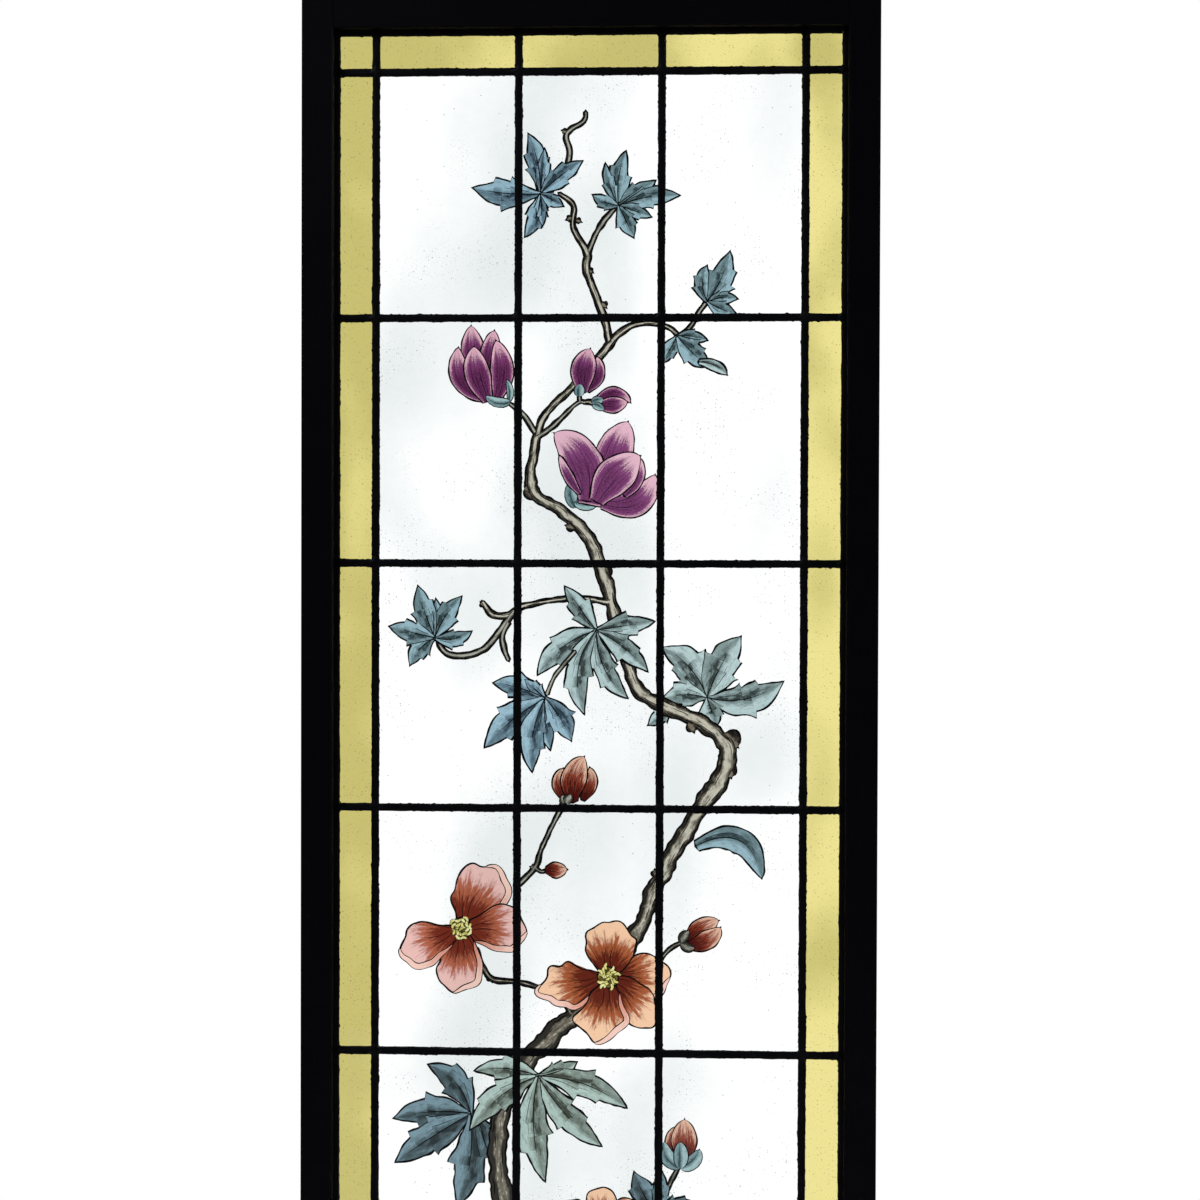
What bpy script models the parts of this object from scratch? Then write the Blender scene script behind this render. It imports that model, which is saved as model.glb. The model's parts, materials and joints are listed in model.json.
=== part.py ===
"""A leaded, painted glass window in a wooden frame, in metres, +Z up, with its front facing -Y.

The origin is the middle of the bottom rail's underside. Three columns and five rows of clear panes
stand inside a border of narrow amber panes. Lead cames with an H section hold the glass: four long
upright cames run the full height, and short lengths fill each row between them. The short lengths of
a row hang together through the solder over each crossing, so a row is one piece. An edge came goes
round the panel, which lies in the frame's rebate against a front lip, held by beads at the back.
"""

import math

import bmesh
import bpy
from mathutils import Matrix, Vector

# Glass
MAIN_COLUMNS = 3
MAIN_ROWS = 5
PANE_WIDTH = 0.1365  # glass that shows between two cames
PANE_HEIGHT = 0.239
BORDER_WIDTH = 0.0335  # glass that shows in the amber border
GLASS_THICKNESS = 0.003
GLASS_PLAY = 0.0003  # between the glass and each flange of a came
GLASS_EDGE_PLAY = 0.0004  # between the edge of the glass and a came's heart

# Lead
CAME_FACE = 0.0065
EDGE_CAME_FACE = 0.010
EDGE_CAME_SHOWN = 0.0045  # the part of the edge came that the frame leaves in sight
CAME_HEART = 0.0016
CAME_FLANGE = 0.0012
CAME_SHOULDER = 0.0016  # how far in from its edge a flange is rounded
CAME_LIP = 0.0005  # the flange's thickness at its edge
CAME_KNEE = 1 / 3  # how far along its rounding a flange changes slope

# Solder over each crossing
SOLDER_LENGTH = 0.0165
SOLDER_WIDTH = 0.0125
SOLDER_RISE = 0.0012  # above the flange
SOLDER_SEAT = 0.25  # how far up the flange's thickness the solder's underside lies

# Wooden frame
STILE_FACE = 0.0315
RAIL_FACE = 0.0315
FRAME_DEPTH = 0.036
LIP_DEPTH = 0.012  # from the frame's front to the panel
REBATE_PLAY = 0.002  # between the panel's edge and the rebate
SIGHT_CHAMFER = 0.0015  # on the front edge round the opening
ARRIS = 0.0008  # on the frame's outer edges
TENON_THICKNESS = 0.012
TENON_WIDTH = 0.017
TENON_MARGIN = 0.004  # from the outer edge of a rail to its tenon
TENON_ROOT = 0.017  # how far into the rail the tenon's solid runs, so that the two join up

# Glazing beads
BEAD_DEPTH = 0.012
BEAD_ROUND = 0.004

JOINT_GAP = 0.0003  # between pieces that touch
CUT_PAST = 0.002  # how far a cutter runs past what it cuts
SAME_PLACE = 0.0001  # places nearer to each other than this count as one
DOME_SIDES = 12
DOME_RINGS = 3
ROUND_STEPS = 3

COLOURS = {
    "frame_wood": ((0.010, 0.010, 0.013), 0.55, 0.0),
    "bead_wood": ((0.012, 0.012, 0.014), 0.6, 0.0),
    "lead": ((0.045, 0.047, 0.052), 0.5, 0.9),
    "clear_glass": ((0.86, 0.91, 0.91), 0.05, 0.0),
    "amber_glass": ((0.72, 0.64, 0.20), 0.08, 0.0),
}


def spans(start, widths, gap):
    """The (low, high) stretches of these widths, laid in a row from start with a gap between them."""
    found = []
    low = start
    for width in widths:
        found.append((low, low + width))
        low += width + gap
    return found


# Sight widths and where they lie, columns from the left and rows from the bottom
COLUMN_WIDTHS = [BORDER_WIDTH] + [PANE_WIDTH] * MAIN_COLUMNS + [BORDER_WIDTH]
ROW_HEIGHTS = [BORDER_WIDTH] + [PANE_HEIGHT] * MAIN_ROWS + [BORDER_WIDTH]
SIGHT_WIDTH = sum(COLUMN_WIDTHS) + CAME_FACE * (len(COLUMN_WIDTHS) - 1)
SIGHT_HEIGHT = sum(ROW_HEIGHTS) + CAME_FACE * (len(ROW_HEIGHTS) - 1)
SIGHT_FOOT = RAIL_FACE + EDGE_CAME_SHOWN
COLUMNS = spans(-SIGHT_WIDTH / 2, COLUMN_WIDTHS, CAME_FACE)
ROWS = spans(SIGHT_FOOT, ROW_HEIGHTS, CAME_FACE)

# Frame
OPENING_WIDTH = SIGHT_WIDTH + 2 * EDGE_CAME_SHOWN
OPENING_HEIGHT = SIGHT_HEIGHT + 2 * EDGE_CAME_SHOWN
FRAME_WIDTH = OPENING_WIDTH + 2 * STILE_FACE
FRAME_HEIGHT = OPENING_HEIGHT + 2 * RAIL_FACE
FRONT = -FRAME_DEPTH / 2
BACK = FRAME_DEPTH / 2
COVERED = EDGE_CAME_FACE - EDGE_CAME_SHOWN  # the part of the edge came behind the lip
REBATE_WIDTH = COVERED + REBATE_PLAY

# Depths of the panel
CHANNEL = GLASS_THICKNESS + 2 * GLASS_PLAY
CAME_DEPTH = CHANNEL + 2 * CAME_FLANGE
LIP_BACK = FRONT + LIP_DEPTH
PANEL_MIDDLE = LIP_BACK + JOINT_GAP + CAME_DEPTH / 2
BEAD_FRONT = PANEL_MIDDLE + CAME_DEPTH / 2 + JOINT_GAP


def clear_scene():
    for old in list(bpy.data.objects):
        bpy.data.objects.remove(old)


def material(name):
    made = bpy.data.materials.get(name)
    if made is None:
        colour, roughness, metallic = COLOURS[name]
        made = bpy.data.materials.new(name)
        made.use_nodes = True
        shader = made.node_tree.nodes["Principled BSDF"]
        shader.inputs["Base Color"].default_value = (*colour, 1.0)
        shader.inputs["Roughness"].default_value = roughness
        shader.inputs["Metallic"].default_value = metallic
        if name.endswith("glass"):
            shader.inputs["Transmission Weight"].default_value = 1.0
            shader.inputs["IOR"].default_value = 1.5
    return made


def add_object(name, mesh_bm, finish=None):
    """An object of this bmesh, its faces turned outwards."""
    bmesh.ops.recalc_face_normals(mesh_bm, faces=mesh_bm.faces)
    mesh = bpy.data.meshes.new(name)
    mesh_bm.to_mesh(mesh)
    mesh_bm.free()
    made = bpy.data.objects.new(name, mesh)
    bpy.context.scene.collection.objects.link(made)
    if finish:
        mesh.materials.append(material(finish))
    return made


def add_box(mesh_bm, low, high):
    """Adds a box between two corners and returns its vertices."""
    middle = (Vector(low) + Vector(high)) / 2
    sides = Vector(high) - Vector(low)
    place = Matrix.Translation(middle) @ Matrix.Diagonal((*sides, 1.0))
    return bmesh.ops.create_cube(mesh_bm, size=1.0, matrix=place)["verts"]


def add_bar(mesh_bm, outline, start, end, upright, mitre=0.0):
    """Extrudes an outline of (across, depth) points from start to end, along Z if upright and else along X.

    With a mitre of 1 or -1 the ends slope at 45 degrees, and the bar is longest where across is lowest
    or highest.
    """

    def place(across, depth, along):
        return (across, depth, along) if upright else (along, depth, across)

    edge = max(abs(across) for across, depth in outline)
    first = [
        mesh_bm.verts.new(place(a, d, start + (abs(mitre) * edge + mitre * a)))
        for a, d in outline
    ]
    cap = mesh_bm.faces.new(first)
    grown = bmesh.ops.extrude_face_region(mesh_bm, geom=[cap], use_keep_orig=True)
    last = [v for v in grown["geom"] if isinstance(v, bmesh.types.BMVert)]
    for vert in last:
        across = vert.co.x if upright else vert.co.z
        along = end - (abs(mitre) * edge + mitre * across)
        vert.co = Vector(place(across, vert.co.y, along))
    return first + last


def shift(mesh_bm, verts, x=0.0, y=0.0, z=0.0):
    bmesh.ops.translate(mesh_bm, verts=verts, vec=(x, y, z))


def boolean(target, other, operation):
    """Joins other to target or cuts it away, and hides other as a helper."""
    other.hide_render = True
    other.display_type = "WIRE"
    step = target.modifiers.new(operation.lower(), "BOOLEAN")
    step.operation = operation
    step.object = other


def came_outline(face):
    """The H section of a came with a rounded face, as (across, depth) points."""
    half = face / 2
    outer = CAME_DEPTH / 2
    inner = CHANNEL / 2
    rise = outer - inner - CAME_LIP
    flange = [
        (CAME_HEART / 2, inner),
        (half, inner),
        (half, inner + CAME_LIP),
        (half - CAME_SHOULDER * CAME_KNEE, outer - rise * CAME_KNEE),
        (half - CAME_SHOULDER, outer),
    ]
    back = flange + [(-across, depth) for across, depth in reversed(flange)]
    return back + [(-across, -depth) for across, depth in back]


def upright_came(name, middle, face, start, end):
    made = bmesh.new()
    verts = add_bar(made, came_outline(face), start, end, upright=True)
    shift(made, verts, x=middle, y=PANEL_MIDDLE)
    return add_object(name, made, "lead")


def level_came(name, middle, face, start, end):
    made = bmesh.new()
    verts = add_bar(made, came_outline(face), start, end, upright=False)
    shift(made, verts, y=PANEL_MIDDLE, z=middle)
    return add_object(name, made, "lead")


def add_dome(mesh_bm, middle, height, side):
    """A low dome of solder on one face of a crossing, its flat underside sunk in the flange."""
    base = CHANNEL / 2 + CAME_FLANGE * SOLDER_SEAT
    rise = CAME_DEPTH / 2 + SOLDER_RISE - base
    rings = []
    for ring in range(DOME_RINGS):
        slope = ring / DOME_RINGS * math.pi / 2
        depth = PANEL_MIDDLE + side * (base + rise * math.sin(slope))
        turns = [2 * math.pi * (at + 0.5) / DOME_SIDES for at in range(DOME_SIDES)]
        across = math.cos(slope) * SOLDER_LENGTH / 2
        up = math.cos(slope) * SOLDER_WIDTH / 2
        corners = [(middle + across * math.cos(t), depth, height + up * math.sin(t)) for t in turns]
        rings.append([mesh_bm.verts.new(corner) for corner in corners])
    top = mesh_bm.verts.new((middle, PANEL_MIDDLE + side * (base + rise), height))
    mesh_bm.faces.new(rings[0])
    for at in range(DOME_SIDES):
        after = (at + 1) % DOME_SIDES
        for near, far in zip(rings, rings[1:]):
            mesh_bm.faces.new((near[at], near[after], far[after], far[at]))
        mesh_bm.faces.new((rings[-1][at], rings[-1][after], top))


def solder_domes(name, crossings, height):
    """A dome on both faces of the lead at each crossing of one row."""
    made = bmesh.new()
    for middle in crossings:
        for side in (-1, 1):
            add_dome(made, middle, height, side)
    return add_object(name, made)


def upright_room(name, crossings, height):
    """The room that the upright cames need where they pass through one row."""
    made = bmesh.new()
    half = CAME_FACE / 2 + JOINT_GAP
    deep = CAME_DEPTH / 2 + JOINT_GAP
    tall = max(SOLDER_WIDTH, CAME_FACE)  # past the row's lead and solder both ways
    for middle in crossings:
        low = (middle - half, PANEL_MIDDLE - deep, height - tall)
        high = (middle + half, PANEL_MIDDLE + deep, height + tall)
        add_box(made, low, high)
    return add_object(name, made)


def make_lead():
    """The uprights, the soldered rows and the edge came's four sides."""
    crossings = [(a[1] + b[0]) / 2 for a, b in zip(COLUMNS, COLUMNS[1:])]
    levels = [(a[1] + b[0]) / 2 for a, b in zip(ROWS, ROWS[1:])]
    foot, head = ROWS[0][0], ROWS[-1][1]
    side = SIGHT_WIDTH / 2

    for number, middle in enumerate(crossings, 1):
        upright_came(
            f"lead_upright_{number}", middle, CAME_FACE, foot + JOINT_GAP, head - JOINT_GAP
        )
    for number, height in enumerate(reversed(levels), 1):
        row = level_came(
            f"lead_row_{number}", height, CAME_FACE, -side + JOINT_GAP, side - JOINT_GAP
        )
        boolean(row, solder_domes(f"domes_{number}", crossings, height), "UNION")
        boolean(row, upright_room(f"uprights_{number}", crossings, height), "DIFFERENCE")

    middle = side + EDGE_CAME_FACE / 2
    low, high = foot - EDGE_CAME_FACE, head + EDGE_CAME_FACE
    upright_came("lead_edge_left", -middle, EDGE_CAME_FACE, low, high)
    upright_came("lead_edge_right", middle, EDGE_CAME_FACE, low, high)
    reach = side - JOINT_GAP
    level_came("lead_edge_bottom", foot - EDGE_CAME_FACE / 2, EDGE_CAME_FACE, -reach, reach)
    level_came("lead_edge_top", head + EDGE_CAME_FACE / 2, EDGE_CAME_FACE, -reach, reach)


def glass_stretch(stretches, index):
    """One pane's real extent: what shows, and what lies in the channel of the came on each side."""
    inner = (CAME_FACE - CAME_HEART) / 2 - GLASS_EDGE_PLAY
    outer = (EDGE_CAME_FACE - CAME_HEART) / 2 - GLASS_EDGE_PLAY
    low, high = stretches[index]
    last = len(stretches) - 1
    return low - (outer if index == 0 else inner), high + (outer if index == last else inner)


def pane_name(row, column):
    """Rows are counted from the top and columns from the left, without the border."""
    level = MAIN_ROWS + 1 - row
    top_or_bottom = {0: "top", MAIN_ROWS + 1: "bottom"}.get(level)
    left_or_right = {0: "left", MAIN_COLUMNS + 1: "right"}.get(column)
    if top_or_bottom and left_or_right:
        return f"border_corner_{top_or_bottom}_{left_or_right}"
    if top_or_bottom:
        return f"border_{top_or_bottom}_col{column}"
    if left_or_right:
        return f"border_{left_or_right}_row{level}"
    return f"pane_row{level}_col{column}"


def make_glass():
    for row in range(len(ROWS)):
        for column in range(len(COLUMNS)):
            left, right = glass_stretch(COLUMNS, column)
            bottom, top = glass_stretch(ROWS, row)
            name = pane_name(row, column)
            made = bmesh.new()
            add_box(
                made,
                (left, PANEL_MIDDLE - GLASS_THICKNESS / 2, bottom),
                (right, PANEL_MIDDLE + GLASS_THICKNESS / 2, top),
            )
            finish = "amber_glass" if name.startswith("border") else "clear_glass"
            add_object(name, made, finish)


def opening_cutter(name):
    """The frame's opening: a chamfered sight edge, the straight lip and the wider rebate behind it."""
    half, low, high = OPENING_WIDTH / 2, RAIL_FACE, RAIL_FACE + OPENING_HEIGHT
    steps = [
        (FRONT - CUT_PAST, SIGHT_CHAMFER + CUT_PAST),
        (FRONT + SIGHT_CHAMFER, 0.0),
        (LIP_BACK, 0.0),
        (LIP_BACK, REBATE_WIDTH),
        (BACK + CUT_PAST, REBATE_WIDTH),
    ]
    made = bmesh.new()
    rings = []
    for depth, out in steps:
        corners = [
            (-half - out, depth, low - out),
            (half + out, depth, low - out),
            (half + out, depth, high + out),
            (-half - out, depth, high + out),
        ]
        rings.append([made.verts.new(corner) for corner in corners])
    for near, far in zip(rings, rings[1:]):
        for at in range(4):
            after = (at + 1) % 4
            made.faces.new((near[at], near[after], far[after], far[at]))
    made.faces.new(rings[0])
    made.faces.new(rings[-1])
    return add_object(name, made)


def on_outside(point):
    """Whether a point lies on the frame's outline, seen from the front."""
    sides = abs(abs(point.x) - FRAME_WIDTH / 2) < SAME_PLACE
    ends = point.z < SAME_PLACE or point.z > FRAME_HEIGHT - SAME_PLACE
    return sides or ends


def frame_member(name, low, high):
    """A stile or rail, with the edges on the frame's outline eased."""
    made = bmesh.new()
    add_box(made, low, high)
    eased = []
    for edge in made.edges:
        ends = [v.co for v in edge.verts]
        through = abs(ends[0].y - ends[1].y) > FRAME_DEPTH / 2
        outermost = abs(abs(ends[0].x) - FRAME_WIDTH / 2) < SAME_PLACE
        if all(on_outside(end) for end in ends) and (outermost or not through):
            eased.append(edge)
    bmesh.ops.bevel(
        made,
        geom=eased,
        offset=ARRIS,
        offset_type="OFFSET",
        segments=1,
        profile=0.5,
        affect="EDGES",
        material=-1,
    )
    return add_object(name, made, "frame_wood")


def tenon_box(name, sign, low_z, grow, inward):
    """A through tenon at the lip's depth, or the mortise for it when grown by the joint gap."""
    made = bmesh.new()
    shoulder = OPENING_WIDTH / 2
    near, far = shoulder - inward, FRAME_WIDTH / 2 + (CUT_PAST if grow else -JOINT_GAP)
    half = TENON_THICKNESS / 2 + grow
    xs = sorted((sign * near, sign * far))
    low = (xs[0], LIP_BACK - half, low_z - grow)
    high = (xs[1], LIP_BACK + half, low_z + TENON_WIDTH + grow)
    add_box(made, low, high)
    return add_object(name, made)


def make_frame():
    side, edge = OPENING_WIDTH / 2, FRAME_WIDTH / 2
    tenon_lows = {
        "bottom": TENON_MARGIN,
        "top": FRAME_HEIGHT - TENON_MARGIN - TENON_WIDTH,
    }
    opening = opening_cutter("opening")
    for name, sign in (("left", -1), ("right", 1)):
        xs = sorted((sign * side, sign * edge))
        stile = frame_member(f"stile_{name}", (xs[0], FRONT, 0.0), (xs[1], BACK, FRAME_HEIGHT))
        boolean(stile, opening, "DIFFERENCE")
        for end, low in tenon_lows.items():
            mortise = tenon_box(f"mortise_{end}_{name}", sign, low, JOINT_GAP, CUT_PAST)
            boolean(stile, mortise, "DIFFERENCE")

    reach = side - JOINT_GAP
    heights = {
        "bottom": (0.0, RAIL_FACE),
        "top": (FRAME_HEIGHT - RAIL_FACE, FRAME_HEIGHT),
    }
    for name, (low, high) in heights.items():
        rail = frame_member(f"rail_{name}", (-reach, FRONT, low), (reach, BACK, high))
        boolean(rail, opening, "DIFFERENCE")
        for end, sign in (("left", -1), ("right", 1)):
            tongue = tenon_box(f"tenon_{name}_{end}", sign, tenon_lows[name], 0.0, TENON_ROOT)
            boolean(rail, tongue, "UNION")


def bead_outline():
    """A bead's section as (across, depth) points, its inner edge at the lowest across, rounded behind."""
    wide = REBATE_WIDTH - JOINT_GAP
    arc = []
    for step in range(ROUND_STEPS + 1):
        turn = step / ROUND_STEPS * math.pi / 2
        across = BEAD_ROUND - BEAD_ROUND * math.cos(turn)
        arc.append((across, BEAD_DEPTH - BEAD_ROUND + BEAD_ROUND * math.sin(turn)))
    return [(wide, 0.0), (0.0, 0.0)] + arc + [(wide, BEAD_DEPTH)]


def make_beads():
    """Four beads, mitred at the corners, between the panel's back and the open rebate."""
    half, foot, head = OPENING_WIDTH / 2, RAIL_FACE, RAIL_FACE + OPENING_HEIGHT
    wide = REBATE_WIDTH - JOINT_GAP
    outline = bead_outline()
    for name, sign in (("left", -1), ("right", 1)):
        made = bmesh.new()
        turned = [(sign * across, depth) for across, depth in outline]
        verts = add_bar(made, turned, foot - wide, head + wide, upright=True, mitre=-sign)
        shift(made, verts, x=sign * half, y=BEAD_FRONT)
        add_object(f"bead_{name}", made, "bead_wood")
    for name, sign, edge in (("bottom", -1, foot), ("top", 1, head)):
        made = bmesh.new()
        turned = [(sign * across, depth) for across, depth in outline]
        verts = add_bar(made, turned, -half - wide, half + wide, upright=False, mitre=-sign)
        shift(made, verts, y=BEAD_FRONT, z=edge)
        add_object(f"bead_{name}", made, "bead_wood")


def main():
    clear_scene()
    make_frame()
    make_lead()
    make_glass()
    make_beads()


main()
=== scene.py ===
import json
import math

import bmesh
import bpy
import numpy as np
from mathutils import Matrix, Vector, noise
from mathutils.geometry import delaunay_2d_cdt

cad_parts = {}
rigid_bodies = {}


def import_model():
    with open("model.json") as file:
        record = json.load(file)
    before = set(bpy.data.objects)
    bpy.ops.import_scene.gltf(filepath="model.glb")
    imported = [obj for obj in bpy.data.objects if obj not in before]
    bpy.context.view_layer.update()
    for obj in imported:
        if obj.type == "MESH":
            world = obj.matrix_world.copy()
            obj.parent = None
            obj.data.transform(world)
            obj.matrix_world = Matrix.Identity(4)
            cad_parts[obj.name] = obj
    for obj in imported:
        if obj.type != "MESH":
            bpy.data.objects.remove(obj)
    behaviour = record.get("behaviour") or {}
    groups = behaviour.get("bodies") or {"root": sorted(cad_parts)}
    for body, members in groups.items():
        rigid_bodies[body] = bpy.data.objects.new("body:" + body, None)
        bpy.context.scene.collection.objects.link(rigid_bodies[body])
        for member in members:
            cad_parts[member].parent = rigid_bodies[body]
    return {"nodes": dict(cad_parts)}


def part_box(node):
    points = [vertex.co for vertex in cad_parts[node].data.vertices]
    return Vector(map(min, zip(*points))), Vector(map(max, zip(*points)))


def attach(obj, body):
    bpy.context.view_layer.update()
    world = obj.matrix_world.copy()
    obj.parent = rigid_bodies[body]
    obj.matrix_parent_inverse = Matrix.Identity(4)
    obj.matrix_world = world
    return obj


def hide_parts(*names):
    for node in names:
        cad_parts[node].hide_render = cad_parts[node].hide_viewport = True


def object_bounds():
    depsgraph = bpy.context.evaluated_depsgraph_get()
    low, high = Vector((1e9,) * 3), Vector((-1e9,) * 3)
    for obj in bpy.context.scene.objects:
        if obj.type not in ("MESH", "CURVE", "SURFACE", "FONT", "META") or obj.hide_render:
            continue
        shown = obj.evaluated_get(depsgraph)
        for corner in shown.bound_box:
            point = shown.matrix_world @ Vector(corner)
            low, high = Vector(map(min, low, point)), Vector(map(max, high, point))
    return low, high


for old in list(bpy.data.objects):
    bpy.data.objects.remove(old)
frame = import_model()
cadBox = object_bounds()
windowTop = cadBox[1][2] * 1000
print("stage: frame loaded")


# Shader helpers

class Wire:
    # One output of a node. Sums on wires add Math nodes.
    def __init__(self, shade, socket):
        self.shade = shade
        self.socket = socket

    def __add__(self, other):
        return self.shade.maths("ADD", self, other)

    def __sub__(self, other):
        return self.shade.maths("SUBTRACT", self, other)

    def __rsub__(self, other):
        return self.shade.maths("SUBTRACT", other, self)

    def __mul__(self, other):
        return self.shade.maths("MULTIPLY", self, other)

    __radd__ = __add__
    __rmul__ = __mul__

    def __abs__(self):
        return self.shade.maths("ABSOLUTE", self)

    def larger(self, other):
        return self.shade.maths("MAXIMUM", self, other)

    def within(self, low, high):
        # 0 below low, 1 above high and a smooth step between
        sockets = {"Value": self, "From Min": low, "From Max": high}
        return self.shade.node("MapRange", {"interpolation_type": "SMOOTHSTEP"}, sockets)


class Shade:
    # One material and its nodes
    def __init__(self, name, plain):
        self.material = bpy.data.materials.new(name)
        self.material.use_nodes = True
        self.tree = self.material.node_tree
        self.surface = self.tree.nodes["Principled BSDF"]
        for socket, value in plain.items():
            self.surface.inputs[socket].default_value = value

    def node(self, kind, settings=None, sockets=None, out=0):
        made = self.tree.nodes.new("ShaderNode" + kind)
        for name, value in (settings or {}).items():
            setattr(made, name, value)
        for name, value in (sockets or {}).items():
            if isinstance(value, Wire):
                self.tree.links.new(value.socket, made.inputs[name])
            else:
                made.inputs[name].default_value = value
        return Wire(self, made.outputs[out])

    def maths(self, operation, *values):
        return self.node("Math", {"operation": operation}, dict(enumerate(values)))

    def here(self):
        return self.node("TexCoord", out="Object")

    def map(self, name):
        return self.node("UVMap", {"uv_map": name})

    def split(self, vector):
        # the first two parts of a vector
        parts = self.node("SeparateXYZ", sockets={0: vector})
        return parts, Wire(self, parts.socket.node.outputs[1])

    def stretched(self, vector, scale, move=(0, 0, 0)):
        return self.node("Mapping", sockets={"Vector": vector, "Scale": scale, "Location": move})

    def cloud(self, vector, scale, detail=2.0, rough=0.5):
        sockets = {"Vector": vector, "Scale": scale, "Detail": detail, "Roughness": rough}
        return self.node("TexNoise", sockets=sockets)

    def specks(self, vector, scale, size, kept):
        # 1 inside round dots, of which only a share are kept, and 0 outside
        cells = self.node("TexVoronoi", sockets={"Vector": vector, "Scale": scale})
        chance = self.split(Wire(self, cells.socket.node.outputs["Color"]))[0]
        return (1 - cells.within(size * 0.6, size)) * chance.within(1 - kept, 1.04 - kept)

    def blend(self, factor, low, high):
        sockets = {0: factor, 6: low, 7: high}
        return self.node("Mix", {"data_type": "RGBA", "clamp_factor": True}, sockets, out=2)

    def feed(self, socket, wire):
        self.tree.links.new(wire.socket, self.surface.inputs[socket])

    def bump(self, height, strength, distance):
        sockets = {"Height": height, "Strength": strength, "Distance": distance}
        self.feed("Normal", self.node("Bump", sockets=sockets))


def linear(red, green, blue):
    # a colour given in the usual 0 to 255
    parts = [part / 255 for part in (red, green, blue)]
    curve = [part / 12.92 if part < 0.04 else ((part + 0.055) / 1.055) ** 2.4 for part in parts]
    return (*curve, 1.0)


def tint(red, green, blue):
    # the same for paint on one face of the glass, which is half of what the light crosses
    return (*[part ** 2 for part in linear(red, green, blue)[:3]], 1.0)


# Glass

# the second tone of each glass is painted shade, where the light behind the window is weaker
glass = {
    "clear": (254, 255, 255),
    "clearDull": (226, 232, 232),
    "amber": (233, 222, 144),
    "amberDeep": (196, 187, 112),
    "speck": (50, 48, 44),
}
bubbles = {  # scale, size and the share kept
    "middling": (260, 0.2, 0.3),
    "large": (110, 0.085, 0.22),
    "small": (460, 0.25, 0.35),
}


def glassShade(name, bright, dull, patch, middling):
    # the dull tone is painted shade of the uneven light behind the window; middling says whether this painted
    # shade is deepest in the middle of the window, or else at its left
    shade = Shade(name, {"Roughness": 0.03, "IOR": 1.5, "Transmission Weight": 1.0})
    place = shade.here()
    across = shade.split(place)[0]
    # broad blotches of painted shade, where the light behind the glass is uneven
    broad = shade.cloud(shade.stretched(place, (1, 1, 0.6)), patch, 1.5, 0.4)
    fine = shade.cloud(place, 90, 4.0, 0.6)
    # painted shade by place: darkest in the middle of the window for the clear glass, and towards its left
    # for the amber
    if middling:
        backlitShade = 0.05 - abs(across + 0.04).within(0.02, 0.2) * 0.16
    else:
        backlitShade = 0.2 - across.within(-0.3, 0.24) * 0.28
    tone = (broad * 0.93 + fine * 0.07 + backlitShade).within(0.38, 0.66)
    colour = shade.blend(tone, linear(*bright), linear(*dull))
    gather = shade.cloud(place, 13, 2.0).within(0.46, 0.62) if middling else 0.8
    dots = shade.specks(place, *bubbles["middling"]) * gather
    dots = dots.larger(shade.specks(place, *bubbles["large"]))
    dots = dots.larger(shade.specks(place, *bubbles["small"]) * gather * 0.7)
    shade.feed("Base Color", shade.blend(dots * 0.8, colour, linear(*glass["speck"])))
    swell = shade.cloud(shade.stretched(place, (1, 1, 0.45)), 16, 2.0, 0.5)
    shade.bump(swell + dots * 0.02, 0.25, 0.0008)
    return shade.material


# Paints. Each has the tones that it runs through, from where it is laid thickest.

paints = {
    "petalRose": ((108, 38, 23), (174, 96, 70), (230, 188, 181)),
    "petalPeach": ((94, 30, 15), (164, 88, 52), (240, 198, 164)),
    "budRed": ((70, 12, 9), (138, 58, 38), (226, 184, 160)),
    "purple": ((66, 16, 54), (122, 58, 108), (226, 178, 194)),
    "purpleOpen": ((70, 20, 60), (132, 68, 120), (228, 184, 200)),
    "leafBlue": ((40, 58, 70), (100, 126, 140), (154, 187, 202)),
    "leafGrey": ((52, 62, 61), (126, 146, 145), (184, 206, 207)),
    "leafDeep": ((27, 42, 47), (70, 90, 96), (118, 146, 158)),
    "leafTeal": ((46, 64, 68), (104, 129, 135), (150, 182, 193)),
    "leafGreen": ((56, 64, 54), (128, 144, 136), (176, 199, 192)),
    "sepal": ((52, 74, 78), (112, 142, 146), (160, 188, 190)),
    "curlPink": ((186, 104, 86), (218, 158, 140), (240, 202, 188)),
    "bark": ((36, 33, 27), (110, 105, 92), (196, 192, 176)),
    "burr": ((22, 19, 17), (62, 55, 48), (126, 118, 102)),
    "stem": ((44, 44, 40), (106, 105, 96), (168, 168, 156)),
    "stamen": ((150, 142, 62), (218, 212, 128), (244, 240, 182)),
    "pollen": ((40, 36, 14), (90, 80, 32), (136, 126, 58)),
}
paintLook = {"Roughness": 0.16, "IOR": 1.5, "Transmission Weight": 1.0}


def tones(shade, amount, name):
    # three tones of one paint over 0 to 1
    deep, middle, pale = [tint(*tone) for tone in paints[name]]
    lower = shade.blend(amount.within(0.0, 0.5), deep, middle)
    return shade.blend(amount.within(0.5, 1.0), lower, pale)


# how fast a petal pales from its heart, how much stays dark, and how ragged the brush leaves the edge between
petalBrush = {
    "petalRose": {"slope": 2.1, "shift": -0.74, "ragged": 1.4, "hatch": 0.9},
    "petalPeach": {"slope": 2.1, "shift": -0.76, "ragged": 1.5, "hatch": 0.9},
    "budRed": {"slope": 1.25, "shift": -0.3, "ragged": 2.1, "hatch": 1.0},
    "curlPink": {"slope": 1.5, "shift": 0.1, "ragged": 1.2, "hatch": 0.8},
}


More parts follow.
